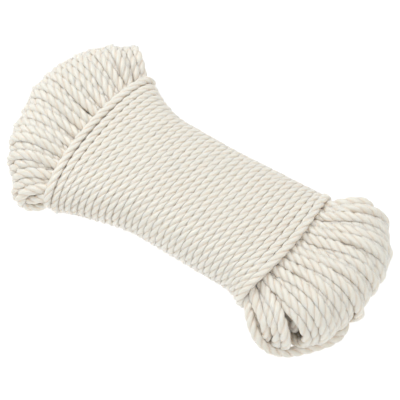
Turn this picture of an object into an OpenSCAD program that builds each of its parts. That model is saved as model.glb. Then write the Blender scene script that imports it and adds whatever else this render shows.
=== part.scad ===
// Hank of three-strand laid rope: lengthwise turns bound round the middle.
// Millimetres. +X runs along the hank, +Z is up, and the origin is on the
// resting plane under the middle of the hank.

/* [Rope] */
// Rope diameter
rope_d = 6.35; // [5:0.05:7]
// Diameter of the melted knob that seals each cut end
tip_d = 6.9; // [6:0.1:7]
// Length of each melted knob
tip_l = 6; // [3:0.5:8]

/* [Hank] */
// Overall length of the hank
hank_l = 330; // [318:1:342]
// Height of the middle plane over the surface that the hank rests on
mid_z = 26.5; // [25.5:0.1:27]

/* [Bound middle] */
// Width over the binding turns at the waist
body_w = 104.8; // [98:0.2:108]
// Thickness over the binding turns
body_t = 49.6; // [46:0.2:50]
// Distance from the middle of the hank to the far edge of the binding
bind_far = 97.5; // [90:0.5:102]
// Distance from the middle of the hank to the near edge of the binding
bind_near = 92.5; // [86:0.5:98]
// Sideways offset of the bound middle from the centre of the hank
body_y = -5.7; // [-7:0.1:-4]
// How much further the far edge of the binding spreads, each side
flare_far = 22.5; // [16:0.5:24]
// How much further the near edge of the binding spreads, each side
flare_near = 7; // [4:0.5:10]

/* [Loop ends] */
// Width across the far fan of loops
far_w = 167; // [162:1:172]
// Sideways offset of the far fan
far_y = 0; // [-1:0.5:1]
// Thickness of the far fan of loops
far_t = 52.6; // [51:0.2:55]
// Width across the near fan of loops
near_w = 143.5; // [138:0.5:150]
// Sideways offset of the near fan
near_y = -9.5; // [-11:0.5:-7]
// Thickness of the near fan of loops
near_t = 55.2; // [53:0.2:57]
// Squareness of the fans' outer corners, where 2 is an ellipse
fan_e = 2.35; // [2:0.05:3]

/* [Hidden] */
$fn = 96;

// where the fans reach their full width, from the middle of the hank
far_wide = 115;
near_wide = 119;
// steps round each fan's outline
fan_steps = 28;
// the bound middle's section: squareness, and points round it
sec_e = 2.6;
sec_n = 40;
// stations along the bound middle, as parts of the way from the waist to an edge
stations = [0, 0.2, 0.4, 0.55, 0.7, 0.85, 1];
waist_x = 8;
// gap between a tail lying on the resting plane and that plane
lie_z = tip_d / 2;

// routes of the two tails, lying in the waist along the hank's back side
start_route = [[-bind_far, 56, lie_z], [-84, 54.5, lie_z], [-66, 52, lie_z], [-52, 51.3, lie_z], [-38, 51.8, lie_z]];
end_route = [[bind_near, 47.5, lie_z], [77, 48.5, lie_z], [62, 49.3, lie_z], [48, 50.3, lie_z], [34.5, 52.3, lie_z]];

rope_white = [0.93, 0.91, 0.87];
rope_cream = [0.90, 0.87, 0.81];
melt_white = [0.86, 0.82, 0.72];

function unit(v) = v / norm(v);
// direction of a route at point i
function along(p, i) =
    i == 0 ? unit(p[1] - p[0]) :
    i == len(p) - 1 ? unit(p[i] - p[i - 1]) :
    unit(unit(p[i + 1] - p[i]) + unit(p[i] - p[i - 1]));
// ring of n points round a route point, square to the route
function ring(p, i, r, n) =
    let (t = along(p, i), s = unit(cross([0, 0, 1], t)), w = cross(t, s))
    [for (k = [0 : n - 1]) p[i] + r * (cos(360 * k / n) * s + sin(360 * k / n) * w)];
// half of a superellipse, from one side round the outer rim to the other
function fan_rim(ax, ay, e) =
    [for (k = [0 : fan_steps])
        let (a = -90 + 180 * k / fan_steps)
        [ax * pow(max(cos(a), 0), 2 / e), ay * sign(sin(a)) * pow(abs(sin(a)), 2 / e)]];
// half width of the bound middle at x, waisted in the middle
function half_w(x) = body_w / 2 + (x < waist_x
    ? flare_far * pow((waist_x - x) / (waist_x + bind_far), 2.2)
    : flare_near * pow((x - waist_x) / (bind_near - waist_x), 1.8));
// ring of section points at x, inset from the outside of the binding
function section(x, inset) =
    let (a = half_w(x) - inset, b = body_t / 2 - inset)
    [for (k = [0 : sec_n - 1])
        let (q = 360 * k / sec_n)
        [x, body_y + a * sign(cos(q)) * pow(abs(cos(q)), 2 / sec_e),
            mid_z + b * sign(sin(q)) * pow(abs(sin(q)), 2 / sec_e)]];
// x positions of the stations, far edge to near edge
function station_x() = concat(
    [for (k = [len(stations) - 1 : -1 : 1]) waist_x - stations[k] * (waist_x + bind_far)],
    [for (k = [0 : len(stations) - 1]) waist_x + stations[k] * (bind_near - waist_x)]);

// closed solid through the sections, inset from the outside of the binding
module waisted(inset, xs, n = sec_n) {
    m = len(xs);
    polyhedron(
        points = [for (x = xs) each section(x, inset)],
        faces = concat(
            [[for (k = [0 : n - 1]) k]],
            [for (i = [0 : m - 2]) for (k = [0 : n - 1])
                [i * n + (k + 1) % n, i * n + k, (i + 1) * n + k, (i + 1) * n + (k + 1) % n]],
            [[for (k = [n - 1 : -1 : 0]) (m - 1) * n + k]]));
}

// outline in plan of one fan of loops, root to the left, rim to the right
module fan_plan(root_x, root_w, wide_x, tip_x, w, y) {
    translate([wide_x, y])
        polygon(concat(
            [[root_x - wide_x, body_y - y - root_w / 2]],
            fan_rim(tip_x - wide_x, w / 2, fan_e),
            [[root_x - wide_x, body_y - y + root_w / 2]]));
}

// side profile of one fan: flat under, swelling to the loops' height, round rim
module fan_side(root_x, wide_x, tip_x, t) {
    r = t / 2;
    polygon([[root_x, 0], [tip_x - r, 0],
             [tip_x - r, t], [wide_x - 10, t], [root_x, mid_z + body_t / 2 + 0.2]]);
    translate([tip_x - r, r]) circle(r = r);
}

// a closed fan of loops opening along +X
module fan(root_x, root_w, wide_x, tip_x, w, y, t) {
    intersection() {
        linear_extrude(height = t) fan_plan(root_x, root_w, wide_x, tip_x, w, y);
        translate([0, 100, 0]) rotate([90, 0, 0]) linear_extrude(height = 200)
            fan_side(root_x, wide_x, tip_x, t);
    }
}

// round rope swept along a route
module rope_run(p, n = 12) {
    m = len(p);
    polyhedron(
        points = [for (i = [0 : m - 1]) each ring(p, i, rope_d / 2, n)],
        faces = concat(
            [[for (k = [0 : n - 1]) k]],
            [for (i = [0 : m - 2]) for (k = [0 : n - 1])
                [i * n + (k + 1) % n, i * n + k, (i + 1) * n + k, (i + 1) * n + (k + 1) % n]],
            [[for (k = [n - 1 : -1 : 0]) (m - 1) * n + k]]));
}

// melted knob closing the cut end of a route
module sealed_end(p) {
    m = len(p) - 1;
    d = along(p, m);
    translate(p[m]) rotate([0, 90, atan2(d[1], d[0])])
        rotate_extrude()
            polygon([[0, 0], [rope_d / 2, 0], [tip_d / 2, tip_l * 0.25], [tip_d / 2, tip_l * 0.6],
                     [tip_d / 2 * 0.8, tip_l * 0.88], [tip_d / 2 * 0.45, tip_l], [0, tip_l]]);
}

// the lengthwise turns where the binding holds them together
module skein_core() {
    color(rope_cream) waisted(rope_d, station_x());
}

// the close-laid binding turns round the middle, one rope thick
module binding_wrap() {
    xs = station_x();
    m = len(xs) - 1;
    color(rope_white) difference() {
        waisted(0, xs);
        waisted(rope_d, concat([xs[0] - 1], [for (k = [0 : m]) xs[k]], [xs[m] + 1]));
    }
}

// the fan of loops at the far end
module end_loops_far() {
    color(rope_white) mirror([1, 0, 0])
        fan(bind_far, body_w + 2 * flare_far + 1, far_wide, hank_l / 2, far_w, far_y, far_t);
}

// the fan of loops at the near end
module end_loops_near() {
    color(rope_white)
        fan(bind_near, body_w + 2 * flare_near + 1, near_wide, hank_l / 2, near_w, near_y, near_t);
}

// the rope's first end, where it leaves the far loops
module start_tail() {
    color(rope_white) rope_run(start_route);
}

// the rope's last end, where it leaves the near loops
module end_tail() {
    color(rope_white) rope_run(end_route);
}

module start_tip() {
    color(melt_white) sealed_end(start_route);
}

module end_tip() {
    color(melt_white) sealed_end(end_route);
}

skein_core();
binding_wrap();
end_loops_far();
end_loops_near();
start_tail();
end_tail();
start_tip();
end_tip();
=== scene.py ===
import math

import bpy
import numpy as np
from mathutils import Matrix, Vector


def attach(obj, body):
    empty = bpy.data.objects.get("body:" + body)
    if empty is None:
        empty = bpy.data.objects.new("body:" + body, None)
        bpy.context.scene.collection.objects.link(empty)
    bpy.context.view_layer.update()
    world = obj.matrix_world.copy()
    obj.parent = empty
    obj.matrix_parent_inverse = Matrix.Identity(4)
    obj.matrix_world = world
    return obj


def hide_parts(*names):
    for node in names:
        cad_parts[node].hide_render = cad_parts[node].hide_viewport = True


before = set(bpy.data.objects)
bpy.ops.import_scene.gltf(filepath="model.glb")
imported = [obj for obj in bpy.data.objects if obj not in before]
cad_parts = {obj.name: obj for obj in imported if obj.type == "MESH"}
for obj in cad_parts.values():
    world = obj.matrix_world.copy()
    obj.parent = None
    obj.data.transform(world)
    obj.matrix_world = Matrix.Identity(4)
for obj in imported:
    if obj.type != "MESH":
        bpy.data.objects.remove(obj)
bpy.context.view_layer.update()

# ==== rope path (millimetres, hank's own frame) ====
D = 6.35                # rope diameter
ZC = 26.5               # height of the hank's middle plane over the floor
BX, BY = 6.4, -5.7      # place of the bound middle in the frame
LOW = D / 2 - ZC + 0.05 # lowest a centreline may lie, from the middle plane

# rows of lengthwise turns inside the binding: row, first side, how many, half width
ROWS = ((2, -1, 13, 1.0), (1, 1, 12, 0.86), (0, -1, 10, 0.62))
ROW_Z = (13.8, 8.4, 3.05)
CORE_W = 42.3
BIND_A, BIND_B, BIND_N = 48.9, 21.2, 2.6
BIND_TURNS, BIND_PITCH, BIND_X, BIND_START = 32.53, 5.65, -8.0, 0.505

FAN = {
    "far": dict(x0=-119.5, sk=-5.0, ax=43.2, y0=2.8, af=-75.5, ab=82.0, ef=2.15, eb=2.2,
                R=21.5, zc=-1.4, xe=(-98.0, 7.0, 4.0), deep=0.55),
    "near": dict(x0=113.4, sk=-0.5, ax=38.6, y0=-2.3, af=-66.5, ab=66.8, ef=2.3, eb=2.5,
                 R=22.6, zc=-0.3, xe=(84.0, -9.0, -4.0), deep=0.6),
}
# stretch of each rim that the upright loops share, as parts of its length
SPAN = {"far": (0.045, 0.985), "near": (0.0, 0.955)}
# extra room before a loop at the rims, by place from the front, in loop widths
GAPS = {"far": {6: 0.2, 14: 0.1, 20: 0.1}, "near": {1: -0.05, 2: -0.05, 3: 2.7, 4: -0.15, 9: 0.1, 15: 0.1}}
# loops that reach less far than the rim, or further, by place from the front
SHORT = {"far": {0: 3.4, 1: 2.9, 2: 2.3, 3: 1.6, 4: 0.6, 11: -1.5, 12: -3.2, 13: -4.0, 14: -4.5, 15: -5.2, 16: -5.0, 17: -4.0, 18: -2.8, 19: -1.4,
                 20: -1.0, 21: 1.0, 22: 3.0, 23: 4.0, 24: 3.5, 25: 2.0},
         "near": {0: 6.0, 1: 4.2, 2: 3.8, 3: 6.8, 4: 4.2, 5: 2.8, 6: 2.0, 7: 1.7, 8: 1.6, 9: 1.2, 10: 0.6,
                  21: 1.0, 22: 2.0, 23: 2.5, 24: 2.5, 25: 2.0}}
# the loops nearest a corner are smaller: radius and height of the middle, from the corner inwards
CORNER = {
    ("far", -1): ((13.6, -9.2), (15.0, -7.6), (16.6, -6.0), (18.2, -4.4), (19.8, -2.9), (20.8, -2.0)),
    ("far", 1): ((13.4, 3.0), (16.5, 1.6), (19.5, 0.0)),
    ("near", -1): ((13.0, -9.3), (14.6, -8.0), (16.4, -6.4), (18.2, -4.8), (20.0, -3.2), (21.4, -1.8)),
    ("near", 1): ((13.4, 4.2), (16.5, 3.0), (20.0, 1.2)),
}
# the outermost turn folds flat into the mouth under the loops: angle off the
# hank's length, distance to the middle of the fold, radius, heights before and after
FLAT = {("near", 1): (0.0, 28.0, 12.8, -11.0, -9.0)}
# at the front corners it runs low round the corner and in between two loops
LOW_RUN = {
    ("near", -1): ((87.5, -60.2, -2.0), (94.3, -64.6, -5.0), (101.2, -67.0, -9.5), (109.0, -65.8, -15.5),
                   (117.8, -61.6, -21.0), (126.3, -54.6, -23.2), (134.6, -46.0, -23.2), (142.0, -37.0, -22.3),
                   (146.0, -28.0, -20.3), (144.2, -19.4, -17.0), (137.5, -14.0, -13.5), (127.0, -12.5, -11.0),
                   (113.0, -16.5, -8.5), (99.0, -27.0, -6.0)),
    ("far", -1): ((-100.5, -66.0, -3.0), (-109.0, -70.3, -8.0), (-117.0, -69.8, -13.5), (-125.0, -64.6, -18.8),
                  (-133.7, -57.2, -22.3), (-140.8, -47.9, -23.2), (-147.2, -37.2, -21.0), (-151.5, -26.0, -16.0),
                  (-143.5, -17.0, -12.0), (-130.5, -15.5, -10.0), (-118.5, -21.0, -9.0), (-111.0, -32.0, -9.5),
                  (-108.5, -45.0, -10.5), (-103.5, -56.0, -11.5)),
}


def smooth(t):
    t = np.clip(t, 0, 1)
    return t * t * (3 - 2 * t)


def unit(v):
    return v / np.maximum(np.linalg.norm(v, axis=-1, keepdims=True), 1e-12)


def flare(x, back):
    """How far the bound turns spread sideways at x."""
    far_f = 20.0 * np.clip((-26 - x) / 67, 0, 1.1) ** 1.4
    far_b = 17.5 * np.clip((-46 - x) / 46, 0, 1.12) ** 1.8 + 2.0 * smooth((-94 - x) / 10)
    near_f = 6.0 * np.clip((x - 55) / 20, 0, 1.3) ** 2
    near_b = 4.8 * np.clip((x + 5) / 87, 0, 1.2) ** 1.1 + 2.0 * smooth((x - 76) / 12)
    return np.where(back, far_b + near_b, far_f + near_f)


def across(x, v):
    return v * (CORE_W + flare(x, v > 0))


def edge_x(side, v):
    m, f, b = FAN[side]["xe"]
    return m + (f if v < 0 else b) * v * v


def hermite(p0, p1, t0, t1, n):
    s = np.linspace(0, 1, n)[:, None]
    return ((2 * s**3 - 3 * s**2 + 1) * p0 + (s**3 - 2 * s**2 + s) * t0
            + (-2 * s**3 + 3 * s**2) * p1 + (s**3 - s**2) * t1)


def rim_curve(side, inset=0.0, n=600):
    r = FAN[side]
    sg = -1 if side == "far" else 1
    t = np.linspace(-np.pi / 2, np.pi / 2, n)
    e = np.where(t > 0, r["eb"], r["ef"])
    c = np.maximum(np.cos(t), 0) ** (2 / e)
    s = np.abs(np.sin(t)) ** (2 / e)
    x = r["x0"] + sg * (r["ax"] - inset) * c + r["sk"] * np.sign(t) * s
    y = r["y0"] + np.where(t > 0, (r["ab"] - inset) * s, (r["af"] + inset) * s)
    return np.stack([x, y], 1)


def on_curve(curve, f):
    d = np.r_[0, np.cumsum(np.linalg.norm(np.diff(curve, axis=0), axis=1))]
    s = np.asarray(f) * d[-1]
    return np.stack([np.interp(s, d, curve[:, 0]), np.interp(s, d, curve[:, 1])], -1)


def spline(X, s):
    """Points at fractional indices s of a smooth curve through X."""
    P = np.concatenate([[2 * X[0] - X[1]], X, [2 * X[-1] - X[-2]]])
    i = np.clip(s.astype(int), 0, len(X) - 2)
    t = (s - i)[:, None]
    a, b, c, d = P[i], P[i + 1], P[i + 2], P[i + 3]
    return 0.5 * ((2 * b) + (c - a) * t + (2 * a - 5 * b + 4 * c - d) * t**2 + (3 * b - a - 3 * c + d) * t**3)


def lengthwise(rng, jit=1.0):
    """The lengthwise turns, in winding order: far loop, over, near loop, under."""
    row, v = [], []
    for r, sgn, n, h in ROWS:
        row += [r] * n
        v += list(np.linspace(-h, h, n) * sgn)
    row, v = np.array(row), np.array(v)
    N = len(row)
    rims = {}
    for side in ("far", "near"):
        q = FAN[side]
        flat = (row == 2) & (np.abs(v) > 0.99)
        if side == "far":
            flat[0] = False        # the first turn has only just begun there
        inner = (row == 2) & (np.abs(v) < q["deep"]) & ~flat
        pos, R, mid = np.zeros((N, 2)), np.zeros(N), np.full(N, float(q["zc"]))
        idx = np.where(~inner & ~flat)[0]
        order = idx[np.argsort(v[idx], kind="stable")]
        n = len(order)
        room = np.clip(1.0 + rng.normal(0, 0.07, n) * jit, 0.85, 1.2)
        for k, g in GAPS[side].items():
            room[k] += g
        f = np.cumsum(room) - room[0]
        lo, hi = SPAN[side]
        f = lo + (hi - lo) * f / f[-1]
        pos[order] = on_curve(rim_curve(side), f)
        R[order] = q["R"]
        for sign, places in ((-1, order), (1, order[::-1])):
            for k, (r, z) in zip(places, CORNER[side, sign]):
                R[k], mid[k] = r, z
        # the deeper turns lie in the valleys between the outer ones
        mids = list((f[1:] + f[:-1]) / 2)
        gap = [mids[k - 1] for k, g in GAPS[side].items() if g >= 0.5]
        mids[0] = mids[-1] = 9.0
        iid = np.where(inner)[0]
        iid = iid[np.argsort(v[iid], kind="stable")]
        taken, fi = set(), []
        for w in 0.05 + 0.87 * (np.arange(len(iid)) + 0.5) / len(iid):
            k = min((k for k in range(len(mids)) if k not in taken), key=lambda k: abs(mids[k] - w))
            taken.add(k)
            fi.append(mids[k])
        fi = np.sort(fi)
        pos[iid] = on_curve(rim_curve(side, 5.4), fi)
        R[iid] = np.minimum(np.interp(fi, f, R[order]) - 4.0, q["R"] - 5.4)
        R[iid] = np.maximum(R[iid], 12.6)
        mid[iid] = np.interp(fi, f, mid[order])
        reach = rng.normal(0, 0.8, N) * jit
        short = np.zeros(n)
        for k, far_in in SHORT[side].items():
            short[k] = far_in
        reach[order] -= short
        reach[iid] -= np.interp(fi, f, short) + 9.0 * np.isin(fi, gap)   # an open gap stays open
        lift = rng.normal(0, 0.5, N) * jit
        lift[R < 14] = np.abs(lift[R < 14])
        rims[side] = pos, R, mid, reach, lift, flat

    def leave(side, k, top):
        """Where turn k leaves the binding, and its heading there."""
        x = edge_x(side, v[k])
        slope = float(across(x + 0.5, v[k]) - across(x - 0.5, v[k]))
        sg = -1 if side == "far" else 1
        z = ROW_Z[row[k]] * (0.88 if side == "far" else 1.0) * (1 if top else -1)
        return np.array([x, float(across(x, v[k])), z]), unit(np.array([sg, sg * slope, 0.0]))

    def fold(side, k):
        """Turn k folded flat: out along the side, round and back inside."""
        sign = 1 if v[k] > 0 else -1
        a, h = leave(side, k, True)
        b, _ = leave(side, k, False)
        if (side, sign) not in FLAT:
            low = np.array(LOW_RUN[side, sign])
            s = np.linspace(0, len(low) - 1, 60)
            run = spline(low, s)
            La, Lb = np.linalg.norm(run[0] - a), np.linalg.norm(run[-1] - b)
            return (hermite(a, run[0], h * La, unit(low[1] - low[0]) * La, 8)[:-1], run,
                    hermite(run[-1], b, unit(low[-1] - low[-2]) * Lb, -h * Lb, 14)[1:])
        angle, far_off, r, z0, z1 = FLAT[side, sign]
        t = math.radians(angle)
        sg = -1 if side == "far" else 1
        es = np.array([sg * math.cos(t), sign * math.sin(t), 0.0])
        ew = np.array([-sg * math.sin(t), sign * math.cos(t), 0.0])
        al = math.asin(r / far_off)
        ph = np.linspace(math.pi / 2 + al, -math.pi / 2 - al, 25)[:, None]
        c = np.array([a[0], a[1], 0.0]) + es * far_off
        arc = c + r * (es * np.cos(ph) + ew * np.sin(ph))
        arc[:, 2] = np.linspace(z0, z1, 25)
        L = math.sqrt(far_off**2 - r**2)
        out, back = es * math.cos(al) + ew * math.sin(al), es * math.cos(al) - ew * math.sin(al)
        return (hermite(a, arc[0], h * L, out * L, 12)[:-1], arc,
                hermite(arc[-1], b, -back * L, -h * L, 12)[1:])

    def loop(side, k):
        """Turn k from the binding's top, out over the rim and back underneath."""
        pos, R, mid, reach, lift, flat = rims[side]
        if flat[k]:
            return fold(side, k)
        a, h = leave(side, k, True)
        b, _ = leave(side, k, False)
        p = np.array([pos[k, 0], pos[k, 1], 0.0])
        d0 = unit(p - np.array([a[0], a[1], 0.0]))
        d = unit(2.0 * d0 - 0.55 * h)
        p = p + d0 * reach[k]
        r = min(R[k], 4 + 0.5 * np.linalg.norm((p - a)[:2])) + lift[k]
        z = max(mid[k] - 0.8 * max(R[k] - r, 0), LOW + r - 0.3)
        c = p - d * r + np.array([0, 0, z])
        t = np.linspace(np.pi / 2, -np.pi / 2, 19)[:, None]
        arc = c + d * (r * np.cos(t)) + np.array([0, 0, 1.0]) * (r * np.sin(t))
        L = np.linalg.norm((arc[0] - a)[:2])
        return (hermite(a, arc[0], h * L, d * L, 14)[:-1], arc,
                hermite(arc[-1], b, -d * L, -h * L, 14)[1:])

    def through(k0, side0, k1, side1, top):
        """Turn k0 inside the binding; underneath it moves over to the next place."""
        x = np.linspace(edge_x(side0, v[k0]), edge_x(side1, v[k1]), 40)
        s = np.linspace(0, 1, 40)
        w = smooth((s - 0.15) / 0.7)
        z0, z1 = leave(side0, k0, top)[0][2], leave(side1, k1, top)[0][2]
        mid = (ROW_Z[row[k0]] * (1 - w) + ROW_Z[row[k1]] * w) * (1 if top else -1)
        e = smooth(np.abs(s - 0.5) * 2) ** 2
        z = mid * (1 - e) + np.where(s < 0.5, z0, z1) * e
        return np.stack([x, across(x, v[k0] * (1 - w) + v[k1] * w), z], 1)[1:-1]

    path, tag = [], []

    def add(p, t):
        path.append(p)
        tag.append(np.full(len(p), t))

    # first tail: along the floor behind the hank and out to the first loop's underside
    up, arc, dn = loop("far", 0)
    tail = np.array([[-44, 57.5, LOW], [-58, 57.0, LOW], [-72, 57.5, LOW], [-86, 60.0, LOW]])
    add(tail, 4)
    end = arc[-1]
    L = np.linalg.norm(end - tail[-1])
    add(hermite(tail[-1], end, unit(tail[-1] - tail[-2]) * L, -unit(dn[0] - end) * L, 12)[1:-1], 1)
    add(arc[::-1], 1)
    add(up[::-1], 1)
    for k in range(N):
        if k:
            add(np.concatenate(loop("far", k))[::-1], 1)
        add(through(k, "far", k, "near", True), 0)
        add(np.concatenate(loop("near", k)), 2)
        if k < N - 1:
            add(through(k, "near", k + 1, "far", False), 0)
    # last turn: underneath from the near edge to the far one, at the front
    x = np.linspace(edge_x("near", v[-1]), -64, 34)
    w = smooth((x[0] - x) / 145)
    vv = v[-1] * (1 - w) + (-0.86) * w
    add(np.stack([x, across(x, vv), -ROW_Z[0] + 3.4 * w], 1)[1:], 0)
    return np.concatenate(path), np.concatenate(tag)


def binding(n=6000):
    """Binding turns, far end to near: up the front, over the top, down the back."""
    q = np.linspace(0, 2 * np.pi, 721)
    c, s = np.cos(q), np.sin(q)
    y = BIND_A * np.sign(c) * np.abs(c) ** (2 / BIND_N)
    z = BIND_B * np.sign(s) * np.abs(s) ** (2 / BIND_N)
    d = np.r_[0, np.cumsum(np.hypot(np.diff(y), np.diff(z)))]
    h = BIND_TURNS / 2
    tau = np.linspace(-h, h, n)
    ph = (BIND_START - (tau + h)) % 1.0
    sy, sz = np.interp(ph * d[-1], d, y), np.interp(ph * d[-1], d, z)
    yn, zn = sy / BIND_A, sz / BIND_B
    far, near = np.clip(-tau / h, 0, 1), np.clip(tau / h, 0, 1)
    over = np.clip(zn, 0, 1) * (1 - yn**2)
    front, back = np.where(yn < 0, yn**2, 0.0), np.where(yn > 0, yn**2, 0.0)
    x = BIND_X + BIND_PITCH * tau
    x = x + far**5 * (-4.5 * over + 5.5 * front + 2.5 * back)
    x = x + near**5 * (4.0 * over - 6.0 * front - 1.0 * back)
    # the first turn stands a little apart from the rest
    first = np.clip(1.6 - (tau + h), 0, 1)
    x = x - 0.9 * smooth(first)
    k = 1 + 0.012 * smooth(first)
    w = BIND_A + flare(x, sy > 0)
    return np.stack([x, sy * w / BIND_A * k, sz * (1 - 0.10 * smooth((-45 - x) / 50)) * k], 1)


def resample(p, step, extra=None):
    d = np.r_[0, np.cumsum(np.linalg.norm(np.diff(p, axis=0), axis=1))]
    s = np.linspace(0, d[-1], int(round(d[-1] / step)) + 1)
    q = np.stack([np.interp(s, d, p[:, i]) for i in range(3)], 1)
    return q if extra is None else (q, np.asarray(extra)[np.clip(np.searchsorted(d, s), 0, len(p) - 1)])


def whole_path(seed=5):
    rng = np.random.default_rng(seed)
    turns, tag = lengthwise(rng)
    b = binding()
    # from the last turn, out under the first binding turns and up their front
    a0, a1 = turns[-1], unit(turns[-1] - turns[-2])
    b0, b1 = b[0], unit(b[30] - b[0])
    lead = np.array([a0, a0 + [-12.0, -3.0, 0.3], a0 + [-22.0, -8.5, 1.0], [b0[0] - 1.5, b0[1] + 7.5, b0[2] - 9.5]])
    L1, L2 = np.linalg.norm(lead[1] - lead[0]), np.linalg.norm(b0 - lead[-1])
    mid = unit(np.array([-0.10, -0.62, 0.78]))
    Lm = np.linalg.norm(lead[3] - lead[2])
    join = np.concatenate([hermite(lead[0], lead[2], a1 * 25, unit(np.array([-0.85, -0.5, 0.1])) * 25, 14)[1:],
                           hermite(lead[2], lead[3], unit(np.array([-0.85, -0.5, 0.1])) * Lm * 1.2, mid * Lm * 1.2, 12)[1:],
                           hermite(lead[3], b0, mid * L2, b1 * L2, 8)[1:-1]])
    # last tail: down the back of the binding and along the floor behind the hank
    e0, e1 = b[-1], unit(b[-1] - b[-40])
    lay = np.array([[70, 54.5, LOW], [56, 55.0, LOW], [42, 56.0, LOW], [28, 58.0, LOW]])
    L3 = np.linalg.norm(lay[0] - e0)
    drop = hermite(e0, lay[0], e1 * L3 * 1.1, unit(lay[1] - lay[0]) * L3 * 1.3, 20)[1:-1]
    p = np.concatenate([turns, join, b, drop, lay])
    t = np.concatenate([tag, np.full(len(join), 5), np.full(len(b), 3), np.full(len(drop), 5), np.full(len(lay), 4)])
    w = np.concatenate([np.zeros(len(turns) + len(join)), np.linspace(0, BIND_TURNS, len(b)),
                        np.full(len(drop) + len(lay), BIND_TURNS)])
    return p, t, w


def near_pairs(X, reach, skip=4):
    """Index pairs of points nearer than reach, not close along the rope."""
    g = np.floor((X - X.min(0)) / reach).astype(np.int64) + 1
    dims = g.max(0) + 2
    key = (g[:, 0] * dims[1] + g[:, 1]) * dims[2] + g[:, 2]
    order = np.argsort(key, kind="stable")
    ks = key[order]
    I, J = [], []
    for dx in (0, 1):
        for dy in (-1, 0, 1):
            for dz in (-1, 0, 1):
                if (dx, dy, dz) < (0, 0, 0):
                    continue
                want = key + (dx * dims[1] + dy) * dims[2] + dz
                lo, hi = np.searchsorted(ks, want, "left"), np.searchsorted(ks, want, "right")
                cnt = hi - lo
                i = np.repeat(np.arange(len(X)), cnt)
                j = order[np.repeat(lo, cnt) + np.arange(cnt.sum()) - np.repeat(np.cumsum(cnt) - cnt, cnt)]
                keep = np.abs(i - j) > skip
                if (dx, dy, dz) == (0, 0, 0):
                    keep &= i < j
                I.append(i[keep])
                J.append(j[keep])
    I, J = np.concatenate(I), np.concatenate(J)
    near = ((X[I] - X[J]) ** 2).sum(1) < reach * reach
    return I[near], J[near]


def settle(X0, tag, rounds=160, step=4.0):
    """Pushes the rope's stretches apart until they touch and don't cross, keeping its course."""
    mob = np.array([0.7, 1.0, 1.0, 0.04, 0.02, 0.6])[tag]
    dia = np.array([6.15, 6.3, 6.3, 6.15, 6.35, 6.2])[tag]
    bound = tag == 3
    n = len(X0)
    d = np.zeros_like(X0)
    for it in range(rounds):
        X = X0 + d
        if it % 10 == 0:
            I, J = near_pairs(X, 8.4)
            keep = ~(bound[I] & bound[J])
            I, J = I[keep], J[keep]
            T = unit(np.gradient(X, axis=0))
        v = X[I] - X[J]
        along = np.clip((v * T[I]).sum(1), -step / 2, step / 2)
        v = v - along[:, None] * T[I]
        L = np.linalg.norm(v, axis=1)
        over = (dia[I] + dia[J]) / 2 - L
        hit = over > 0
        i, j = I[hit], J[hit]
        push = v[hit] / np.maximum(L[hit], 1e-6)[:, None] * (over[hit] / (mob[i] + mob[j]))[:, None]
        move = np.zeros_like(d)
        count = np.bincount(i, minlength=n) + np.bincount(j, minlength=n)
        for a in range(3):
            move[:, a] = np.bincount(i, push[:, a] * mob[i], n) - np.bincount(j, push[:, a] * mob[j], n)
        move /= np.maximum(count, 1)[:, None]
        move -= (move * T).sum(1)[:, None] * T
        d += 1.5 * move
        d[:, 2] += np.maximum(LOW - (X0 + d)[:, 2], 0)
        for _ in range(2):
            d[1:-1] = 0.5 * d[1:-1] + 0.25 * (d[:-2] + d[2:])
        d *= 0.998
    X = X0 + d
    X[:, 2] = np.maximum(X[:, 2], LOW)
    # the few bends that come out tighter than about two rope diameters are eased
    for _ in range(120):
        bend = X[:-2] - 2 * X[1:-1] + X[2:]
        w = np.clip((np.linalg.norm(bend, axis=1) / step**2 * 13.4 - 1) * 6, 0, 1)
        w = np.maximum(w, 0.6 * np.maximum(np.r_[w[1:], 0], np.r_[0, w[:-1]]))
        X[1:-1] += 0.2 * w[:, None] * bend
        X[:, 2] = np.maximum(X[:, 2], LOW)
    return X
# ==== end of rope path ====


def wander(n, length, amount, rng):
    """Smooth random drift along the rope."""
    k = max(int(n / length) + 2, 4)
    return np.interp(np.arange(n), np.linspace(0, n - 1, k), rng.normal(0, amount, k))


COARSE = 4.0
raw, raw_tag, raw_turn = whole_path()
X0, tag = resample(raw, COARSE, raw_tag)
along_raw = np.r_[0, np.cumsum(np.linalg.norm(np.diff(raw, axis=0), axis=1))]
turn = np.interp(np.linspace(0, along_raw[-1], len(X0)), along_raw, raw_turn)
X = settle(X0, tag)
for _ in range(2):
    X[1:-1] = 0.5 * X[1:-1] + 0.25 * (X[:-2] + X[2:])
X[:, 2] = np.maximum(X[:, 2], LOW)

# rings close together where the rope is seen and further apart inside the binding
xs = X[:, 0]
hidden = (tag == 0) & (xs > -82) & (xs < 68)
ring_step = np.where(hidden, 4.2, 1.5)
for _ in range(3):
    ring_step[1:-1] = np.minimum(ring_step[1:-1], 0.5 * (ring_step[:-2] + ring_step[2:]))
count = np.r_[0, np.cumsum(COARSE / (0.5 * (ring_step[1:] + ring_step[:-1])))]
rings = int(count[-1])
at = np.interp(np.linspace(0, count[-1], rings + 1), count, np.arange(len(X)))
C = spline(X, at)
seg = np.linalg.norm(np.diff(C, axis=0), axis=1)
S = np.r_[0, np.cumsum(seg)]

# a frame carried along the rope without twist
T = unit(np.gradient(C, axis=0))
N = np.zeros_like(T)
N[0] = unit(np.cross(T[0], [0, 0, 1.0]))
for k in range(1, len(C)):
    m = N[k - 1] - T[k] * float(N[k - 1] @ T[k])
    N[k] = m / math.sqrt(float(m @ m))
B = np.cross(T, N)

rng = np.random.default_rng(11)
n = len(C)
place = np.clip(np.round(at).astype(int), 0, len(tag) - 1)
kind = tag[place]


def soften(x, w):
    return np.convolve(np.pad(x.astype(float), w, mode="edge"), np.ones(2 * w + 1) / (2 * w + 1), "valid")


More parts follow.
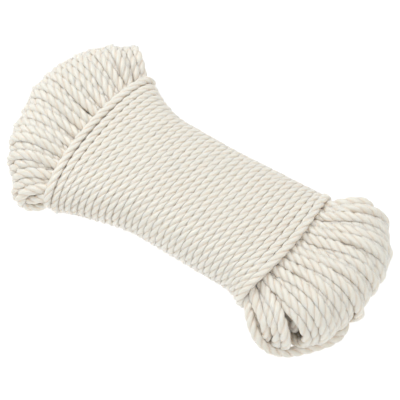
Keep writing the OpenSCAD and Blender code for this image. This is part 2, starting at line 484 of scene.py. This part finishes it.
bound = soften(kind == 3, 8)
loose = soften(np.isin(kind, (1, 2)) | ((kind == 0) & ((C[:, 0] < -90) | (C[:, 0] > 78))), 10)
# the lay: a whole number of strands in each binding turn, so the strands of
# neighbouring turns line up
turn_at = np.interp(at, np.arange(len(X)), turn)
mids = np.arange(0.5, BIND_TURNS - 0.4)
around_len = np.interp(mids + 0.5, turn_at[kind == 3], S[kind == 3]) - np.interp(mids - 0.5, turn_at[kind == 3], S[kind == 3])
strands = np.round(3 * around_len / 24.4 - 0.08)
per_turn = np.interp(turn_at, mids, strands / 3 + 0.012)
lay = 24.8 * (1 + wander(n, 60, 0.025, rng))
free = 2 * np.pi * seg / (0.5 * (lay[1:] + lay[:-1]))
tied = 2 * np.pi * np.diff(turn_at) * 0.5 * (per_turn[1:] + per_turn[:-1])
both = (kind[1:] == 3) & (kind[:-1] == 3)
theta = np.r_[0, np.cumsum(np.where(both, tied, free))] + 0.16 * wander(n, 22, 1.0, rng)

# three strands, each pressed to a wedge by the other two, so only their rounded
# backs show; the rope is fuller where it lies slack and where the binding squeezes it
BACK = np.radians([-60, -55, -43, -29, -14.5, 0, 14.5, 29, 43, 55])
PER = len(BACK)
VERTS = 3 * PER
GROOVE = 0.95
full = 1 + 0.26 * loose + 0.10 * bound
wobble = np.stack([wander(n, 9, 0.045, rng) for _ in range(3)], 1)
swell = np.stack([wander(n, 7, 0.014, rng) for _ in range(3)], 1)
size = full * (1 + wander(n, 6, 0.015, rng))
rel = np.empty((n, VERTS, 3))
for j in range(3):
    for k, a in enumerate(BACK):
        turn_by, grow = wobble[:, j], swell[:, j]
        if k == 0:             # a groove belongs to both strands
            turn_by, grow = (wobble[:, j] + wobble[:, j - 1]) / 2, (swell[:, j] + swell[:, j - 1]) / 2
        ph = theta + j * 2 * np.pi / 3 + a + turn_by
        r = size * (1 + grow) * (D / 2 - GROOVE * (abs(a) / (np.pi / 3)) ** 2.2)
        rel[:, j * PER + k] = r[:, None] * (np.cos(ph)[:, None] * N + np.sin(ph)[:, None] * B)
strand_len = np.hypot(seg, np.diff(theta) * 2.1)
fibre_u = np.r_[0, np.cumsum(strand_len)] / 1000

# in the binding, the shoulders of each turn are squeezed up level with its crown
section_y, section_z = C[:, 1] / (BIND_A + 8), C[:, 2] / BIND_B
outward = np.stack([np.zeros(n), np.sign(section_y) * np.abs(section_y) ** 1.6 / BIND_A,
                    np.sign(section_z) * np.abs(section_z) ** 1.6 / BIND_B], 1)
outward = outward - (outward * T).sum(1)[:, None] * T
outward = unit(outward)
sideways = np.cross(T, outward)
lat = np.einsum("ijk,ik->ij", rel, sideways)
hgt = np.einsum("ijk,ik->ij", rel, outward)
up = bound[:, None] * 0.95 * np.minimum((lat / 2.83) ** 2, 1.6) * np.clip(hgt / 1.2, 0, 1)
rel += up[:, :, None] * outward[:, None, :]


ring_gap = np.r_[seg[0], 0.5 * (seg[1:] + seg[:-1]), seg[-1]]


def neighbours():
    """Pairs of rings side by side, with the sideways vector from one to the other."""
    I, J = near_pairs(C, 8.4, 6)
    I, J = np.concatenate([I, J]), np.concatenate([J, I])
    v = C[J] - C[I]
    off = (v * T[I]).sum(1)
    gap_here = np.maximum(ring_gap[I], ring_gap[J])
    keep = np.abs(off) < 0.62 * gap_here
    I, J, v, off = I[keep], J[keep], v[keep], off[keep]
    v = v - off[:, None] * T[I]
    L = np.linalg.norm(v, axis=1)
    keep = L < (full[I] + full[J]) * 3.3
    return I[keep], J[keep], v[keep], L[keep]


def free_side(window=9):
    """The side of each ring away from its neighbours, and how clearly free it is."""
    I, J, v, L = pairs
    w = np.stack([np.bincount(I, -v[:, a] / L, n) for a in range(3)], 1)
    w = np.stack([soften(w[:, a], window) for a in range(3)], 1)
    w -= (w * T).sum(1)[:, None] * T
    return unit(w), np.clip(np.linalg.norm(w, axis=1) / 0.9, 0, 1)


pairs = neighbours()
# in the fans too, where a turn lies between its neighbours
open_dir, open_by = free_side()
side_dir = np.cross(T, open_dir)
lat = np.einsum("ijk,ik->ij", rel, side_dir)
hgt = np.einsum("ijk,ik->ij", rel, open_dir)
up = (loose * open_by)[:, None] * 0.75 * np.minimum((lat / 3.0) ** 2, 1.6) * np.clip(hgt / 1.2, 0, 1)
rel += up[:, :, None] * open_dir[:, None, :]


def by_neighbour():
    """The pairs a neighbour at a time, each ring at most once in every batch."""
    I, J, v, L = pairs
    order = np.argsort(I, kind="stable")
    I, J, v, L = I[order], J[order], v[order], L[order]
    start = np.r_[0, np.flatnonzero(np.diff(I)) + 1]
    rank = np.arange(len(I)) - np.repeat(start, np.diff(np.r_[start, len(I)]))
    share = full[I] / (full[I] + full[J])
    for r in range(rank.max() + 1):
        m = rank == r
        yield I[m], J[m], v[m] / L[m][:, None], L[m] * share[m]


def swell_out(rel, amount=0.44):
    """Lets the slack rope spread towards its neighbours."""
    out = rel.copy()
    for i, j, d, wall in by_neighbour():
        s = np.einsum("ijk,ik->ij", rel[i], d)
        more = 1 + amount * (loose[i] * loose[j])[:, None] * np.clip(s / wall[:, None], 0, 1)
        need = s * more - np.einsum("ijk,ik->ij", out[i], d)
        out[i] += (np.maximum(need, 0) * (s > 0))[:, :, None] * d[:, None, :]
    return out


def press(rel, passes=2):
    """Flattens the rope where it touches its neighbours, half way between them."""
    for _ in range(passes):
        for i, j, d, wall in by_neighbour():
            over = np.einsum("ijk,ik->ij", rel[i], d) - (wall - 0.03)[:, None]
            rel[i] -= np.maximum(over, 0)[:, :, None] * d[:, None, :]
    return rel


rel = press(swell_out(rel))
P3 = C[:, None, :] + rel
# how far each vertex stands out from the rope's axis, in rope radii; the rope material paints shade between the
# strands and light on their crests from it
depth = np.linalg.norm(rel, axis=2) / (D / 2) / full[:, None]

V = P3.reshape(-1, 3)
V[:, 2] = np.maximum(V[:, 2], -ZC + 0.05)
V = (V + np.array([BX, BY, ZC])) / 1000
PER_ROW = -(-(n - 1) // 28)
k, i = np.meshgrid(np.arange(n - 1), np.arange(VERTS), indexing="ij")
i2 = (i + 1) % VERTS
faces = np.stack([k * VERTS + i, k * VERTS + i2, (k + 1) * VERTS + i2, (k + 1) * VERTS + i], -1).reshape(-1, 4)
strand, part = i // PER, (i % PER) / PER
u0, u1 = fibre_u[k], fibre_u[k + 1]
v0, v1 = strand + 0.17 + 0.66 * part, strand + 0.17 + 0.66 * (part + 1 / PER)
loops_u, loops_v = np.stack([u0, u0, u1, u1], -1).reshape(-1), np.stack([v0, v1, v1, v0], -1).reshape(-1)
line, place = k // PER_ROW + 28 * strand, k % PER_ROW
bu0, bu1 = place / PER_ROW, (place + 1) / PER_ROW
bv0, bv1 = (line + 0.02 + 0.96 * part) / 84, (line + 0.02 + 0.96 * (part + 1 / PER)) / 84
loops_bu, loops_bv = np.stack([bu0, bu0, bu1, bu1], -1).reshape(-1), np.stack([bv0, bv1, bv1, bv0], -1).reshape(-1)
# end caps, hidden in the melted seals
caps = [np.arange(VERTS)[::-1], (n - 1) * VERTS + np.arange(VERTS)]


def quad_mesh(name, V, quads, caps=()):
    me = bpy.data.meshes.new(name)
    nq, nc = len(quads), len(caps)
    cl = sum(len(c) for c in caps)
    me.vertices.add(len(V))
    me.vertices.foreach_set("co", V.astype(np.float32).ravel())
    me.loops.add(nq * 4 + cl)
    idx = np.concatenate([quads.ravel()] + [np.asarray(c) for c in caps]).astype(np.int32)
    me.loops.foreach_set("vertex_index", idx)
    me.polygons.add(nq + nc)
    start = np.concatenate([np.arange(nq) * 4, nq * 4 + np.cumsum([0] + [len(c) for c in caps[:-1]])]) if nc else np.arange(nq) * 4
    me.polygons.foreach_set("loop_start", start.astype(np.int32))
    me.update(calc_edges=True)
    me.validate()
    me.polygons.foreach_set("use_smooth", np.ones(len(me.polygons), dtype=bool))
    return me


mesh = quad_mesh("rope", V, faces, caps)
cap_loops = len(mesh.loops) - len(faces) * 4
for name, a, b in (("fibre", loops_u, loops_v), ("OFBake", loops_bu, loops_bv)):
    layer = mesh.uv_layers.new(name=name, do_init=False)
    uv = np.stack([a, b], 1)
    uv = np.concatenate([uv, np.full((cap_loops, 2), 0.5 / 84)]).astype(np.float32)
    layer.data.foreach_set("uv", uv.ravel())
mesh.uv_layers.active = mesh.uv_layers["fibre"]
attr = mesh.attributes.new("depth", "FLOAT", "POINT")
attr.data.foreach_set("value", depth.ravel().astype(np.float32))
rope = bpy.data.objects.new("rope", mesh)
bpy.context.collection.objects.link(rope)


# ==== melted seals on the cut ends ====
def seal(name, end, inward, seed):
    """The knob of melted fibre that closes a cut end."""
    rng = np.random.default_rng(seed)
    d = unit(end - inward)
    a = unit(np.cross(d, [0, 0, 1.0]))
    b = np.cross(d, a)
    prof = np.array([(-1.6, 2.95), (-0.9, 3.15), (0.0, 3.3), (1.0, 3.42), (2.0, 3.45), (3.0, 3.35),
                     (4.0, 3.0), (4.8, 2.4), (5.4, 1.6), (5.75, 0.7)])
    m = 28
    th = np.linspace(0, 2 * np.pi, m, endpoint=False)
    bumps = [(rng.integers(1, 6), rng.uniform(0, 6.28), rng.uniform(-1.2, 1.2), rng.uniform(0.012, 0.05)) for _ in range(9)]
    P = []
    for x, r in prof:
        k = 1 + sum(amp * np.sin(f * th + p + w * x) for f, p, w, amp in bumps) * 0.6
        k = k + 0.05 * np.cos(3 * (th - 0.5 * x)) * max(0.0, 1 - x / 3)
        P.append(end + d * (x + 0.15 * np.sin(2 * th + x))[:, None] + (np.cos(th)[:, None] * a + np.sin(th)[:, None] * b) * (r * k)[:, None])
    rows = len(prof)
    P = np.concatenate(P + [[end + d * 5.85], [end - d * 1.6]])
    P[:, 2] = np.maximum(P[:, 2], -ZC + 0.05)
    P = (P + np.array([BX, BY, ZC])) / 1000
    q = [[r * m + i, r * m + (i + 1) % m, (r + 1) * m + (i + 1) % m, (r + 1) * m + i] for r in range(rows - 1) for i in range(m)]
    tri = [[(rows - 1) * m + i, (rows - 1) * m + (i + 1) % m, rows * m] for i in range(m)]
    tri += [[(i + 1) % m, i, rows * m + 1] for i in range(m)]
    me = bpy.data.meshes.new(name)
    me.from_pydata([tuple(p) for p in P], [], [f[::-1] for f in q + tri])
    me.update()
    o = bpy.data.objects.new(name, me)
    bpy.context.collection.objects.link(o)
    bpy.context.view_layer.objects.active = o
    for p in me.polygons:
        p.use_smooth = True
    sub = o.modifiers.new("smooth", "SUBSURF")
    sub.levels = sub.render_levels = 1
    return o


first_seal = seal("first_seal", C[0], C[3], 3)
last_seal = seal("last_seal", C[-1], C[-4], 4)


# ==== materials ====
def tree(name):
    m = bpy.data.materials.new(name)
    m.use_nodes = True
    t = m.node_tree
    t.nodes.clear()
    return m, t


def node(t, kind, **props):
    x = t.nodes.new(kind)
    for k, val in props.items():
        setattr(x, k, val)
    return x


def math_(t, op, a, b=None, c=None, clamp=False):
    x = node(t, "ShaderNodeMath", operation=op, use_clamp=clamp)
    for i, val in enumerate((a, b, c)):
        if val is None:
            continue
        if isinstance(val, (int, float)):
            x.inputs[i].default_value = val
        else:
            t.links.new(val, x.inputs[i])
    return x.outputs[0]


def rope_material():
    m, t = tree("rope_fibre")
    L = t.links.new
    uv = node(t, "ShaderNodeUVMap", uv_map="fibre")
    sep = node(t, "ShaderNodeSeparateXYZ")
    L(uv.outputs[0], sep.inputs[0])
    u, v = sep.outputs[0], sep.outputs[1]
    strand = math_(t, "FLOOR", v)
    # yarns run along the rope, so they turn backwards round each strand
    turn = math_(t, "SUBTRACT", v, math_(t, "MULTIPLY", u, 1 / 0.0205))
    a = math_(t, "MULTIPLY", turn, 2 * math.pi)
    cx, sy = math_(t, "COSINE", a), math_(t, "SINE", a)

    def around(scale_round, scale_along, off=0.0):
        comb = node(t, "ShaderNodeCombineXYZ")
        L(math_(t, "MULTIPLY", cx, scale_round), comb.inputs[0])
        L(math_(t, "MULTIPLY", sy, scale_round), comb.inputs[1])
        L(math_(t, "ADD", math_(t, "MULTIPLY", u, scale_along), math_(t, "MULTIPLY_ADD", strand, 12.3, off)), comb.inputs[2])
        return comb.outputs[0]

    def noise(vec, scale, detail=2.0, rough=0.5):
        x = node(t, "ShaderNodeTexNoise", noise_dimensions="3D")
        x.inputs["Scale"].default_value = scale
        x.inputs["Detail"].default_value = detail
        x.inputs["Roughness"].default_value = rough
        L(vec, x.inputs["Vector"])
        return x.outputs["Fac"]

    # filaments: fine streaks along each yarn
    fil = noise(around(1.0, 28.0), 7.0, 3.0, 0.62)
    fil2 = noise(around(1.0, 90.0, 5.0), 3.2, 2.0, 0.5)
    # yarns: rounded ridges round the strand
    wob = math_(t, "MULTIPLY", math_(t, "SUBTRACT", fil2, 0.5), 0.9)
    ridge = math_(t, "ABSOLUTE", math_(t, "SINE", math_(t, "ADD", math_(t, "MULTIPLY", a, 4.5), wob)))
    ridge = math_(t, "POWER", ridge, 0.6)
    height = math_(t, "ADD", math_(t, "MULTIPLY", ridge, 0.55), math_(t, "MULTIPLY", fil, 0.75))
    bump = node(t, "ShaderNodeBump")
    bump.inputs["Strength"].default_value = 0.55
    bump.inputs["Distance"].default_value = 0.00016
    L(height, bump.inputs["Height"])
    # colour: painted shade, darker and a little warmer deep between the strands, and painted light, paler on the
    # crests
    dep = node(t, "ShaderNodeAttribute", attribute_name="depth")
    crest_light_groove_shade = math_(t, "POWER", math_(t, "MULTIPLY_ADD", dep.outputs["Fac"], 3.4, -2.4, clamp=True), 1.2)
    obj = node(t, "ShaderNodeTexCoord")
    patch = noise(obj.outputs["Object"], 22.0, 2.0, 0.5)
    tone = math_(t, "MULTIPLY_ADD", fil2, 0.40, math_(t, "MULTIPLY_ADD", patch, 0.30, -0.35))
    # painted highlight: bright streaks along the filaments, painted into the colour
    painted_highlight_streak = math_(t, "MULTIPLY_ADD", fil, 0.9, -0.45)
    fac = math_(t, "ADD", math_(t, "MULTIPLY_ADD", crest_light_groove_shade, 0.65, 0.2), math_(t, "ADD", tone, painted_highlight_streak), clamp=True)
    ramp = node(t, "ShaderNodeValToRGB")
    L(fac, ramp.inputs[0])
    # the ramp runs from the darker, warmer colour of the painted groove shade to the paler colour of the painted
    # crest light; random tone and the painted highlight streaks move the colour along it too
    e = ramp.color_ramp.elements
    e[0].position, e[0].color = 0.0, (0.915, 0.81, 0.708, 1)
    e[1].position, e[1].color = 1.0, (0.985, 0.91, 0.825, 1)
    mid = ramp.color_ramp.elements.new(0.5)
    mid.color = (0.957, 0.863, 0.772, 1)
    rough = math_(t, "MULTIPLY_ADD", fil, 0.30, 0.15)
    bsdf = node(t, "ShaderNodeBsdfPrincipled")
    L(ramp.outputs[0], bsdf.inputs["Base Color"])
    L(rough, bsdf.inputs["Roughness"])
    L(bump.outputs[0], bsdf.inputs["Normal"])
    bsdf.inputs["IOR"].default_value = 1.53
    bsdf.inputs["Specular IOR Level"].default_value = 0.6
    bsdf.inputs["Subsurface Weight"].default_value = 1.0
    bsdf.inputs["Subsurface Radius"].default_value = (1.0, 0.95, 0.88)
    bsdf.inputs["Subsurface Scale"].default_value = 0.0021
    out = node(t, "ShaderNodeOutputMaterial")
    L(bsdf.outputs[0], out.inputs[0])
    return m


def melt_material():
    m, t = tree("melted_fibre")
    L = t.links.new
    obj = node(t, "ShaderNodeTexCoord")

    def noise(scale, detail):
        x = node(t, "ShaderNodeTexNoise", noise_dimensions="3D")
        x.inputs["Scale"].default_value = scale
        x.inputs["Detail"].default_value = detail
        L(obj.outputs["Object"], x.inputs["Vector"])
        return x.outputs["Fac"]

    big, fine = noise(420.0, 2.0), noise(1500.0, 3.0)
    ramp = node(t, "ShaderNodeValToRGB")
    L(big, ramp.inputs[0])
    e = ramp.color_ramp.elements
    e[0].position, e[0].color = 0.32, (0.42, 0.33, 0.19, 1)
    e[1].position, e[1].color = 0.68, (0.72, 0.66, 0.52, 1)
    bump = node(t, "ShaderNodeBump")
    bump.inputs["Strength"].default_value = 0.5
    bump.inputs["Distance"].default_value = 0.00025
    L(math_(t, "MULTIPLY_ADD", fine, 0.35, big), bump.inputs["Height"])
    bsdf = node(t, "ShaderNodeBsdfPrincipled")
    L(ramp.outputs[0], bsdf.inputs["Base Color"])
    L(math_(t, "MULTIPLY_ADD", fine, 0.25, 0.16), bsdf.inputs["Roughness"])
    L(bump.outputs[0], bsdf.inputs["Normal"])
    out = node(t, "ShaderNodeOutputMaterial")
    L(bsdf.outputs[0], out.inputs[0])
    return m


rope.data.materials.append(rope_material())
melt = melt_material()
for o in (first_seal, last_seal):
    o.data.materials.append(melt)

# ==== frame ====
for o in (rope, first_seal, last_seal):
    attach(o, "root")
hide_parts("skein_core", "binding_wrap", "end_loops_far", "end_loops_near", "start_tail", "end_tail")
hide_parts("start_tip")
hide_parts("end_tip")
line = (spline(X, np.linspace(0, len(X) - 1, 3900)) + np.array([BX, BY, ZC])) / 1000

# ==== floor, light and camera ====
me = bpy.data.meshes.new("floor")
me.from_pydata([(-6, -6, 0), (6, -6, 0), (6, 6, 0), (-6, 6, 0)], [], [(0, 1, 2, 3)])
floor = bpy.data.objects.new("floor", me)
bpy.context.collection.objects.link(floor)
fm, ft = tree("floor_pale")
fb = node(ft, "ShaderNodeBsdfPrincipled")
fb.inputs["Base Color"].default_value = (0.32, 0.32, 0.32, 1)
fb.inputs["Roughness"].default_value = 0.9
fb.inputs["Specular IOR Level"].default_value = 0.0
fb.inputs["Emission Color"].default_value = (1, 1, 1, 1)
fb.inputs["Emission Strength"].default_value = 0.80
fo = node(ft, "ShaderNodeOutputMaterial")
ft.links.new(fb.outputs[0], fo.inputs[0])
me.materials.append(fm)

world = bpy.data.worlds.new("studio")
bpy.context.scene.world = world
world.use_nodes = True
bg = world.node_tree.nodes["Background"]
wt = world.node_tree
coord = node(wt, "ShaderNodeTexCoord")
height = node(wt, "ShaderNodeSeparateXYZ")
wt.links.new(coord.outputs["Generated"], height.inputs[0])
sky = node(wt, "ShaderNodeValToRGB")
wt.links.new(height.outputs[2], sky.inputs[0])
sky.color_ramp.elements[0].position, sky.color_ramp.elements[0].color = 0.0, (0.57, 0.567, 0.56, 1)
sky.color_ramp.elements[1].position, sky.color_ramp.elements[1].color = 0.80, (0.92, 0.917, 0.915, 1)
sky.color_ramp.elements.new(0.28).color = (0.43, 0.427, 0.42, 1)
wt.links.new(sky.outputs[0], bg.inputs[0])
bg.inputs[1].default_value = 1.0


def area(name, pos, aim, size, power, color=(1, 1, 1)):
    l = bpy.data.lights.new(name, "AREA")
    l.shape = "SQUARE"
    l.size = size
    l.energy = power
    l.color = color
    o = bpy.data.objects.new(name, l)
    o.location = pos
    o.rotation_euler = (Vector(aim) - Vector(pos)).to_track_quat("-Z", "Y").to_euler()
    bpy.context.collection.objects.link(o)


area("key", (-0.95, 0.1, 1.25), (0, 0, 0.02), 0.35, 5.4)
area("fill", (0.5, -0.6, 1.3), (0, 0, 0.02), 0.7, 0.5)

E, A = math.radians(58.0), math.radians(-55.5)
back = Vector((math.cos(E) * math.cos(A), math.cos(E) * math.sin(A), math.sin(E)))
aim = Vector((BX / 1000, (BY + 0.4) / 1000, 0.0265))
cam = bpy.data.cameras.new("camera")
cam.sensor_width = 36.0
cam.lens = 36.0 * 1700 / 400
cam.clip_end = 20
camera = bpy.data.objects.new("camera", cam)
camera.location = aim + back * 1.332
camera.rotation_euler = (-back).to_track_quat("-Z", "Y").to_euler()
bpy.context.collection.objects.link(camera)
bpy.context.scene.camera = camera
bpy.context.scene.view_settings.view_transform = "Standard"

bpy.context.view_layer.update()
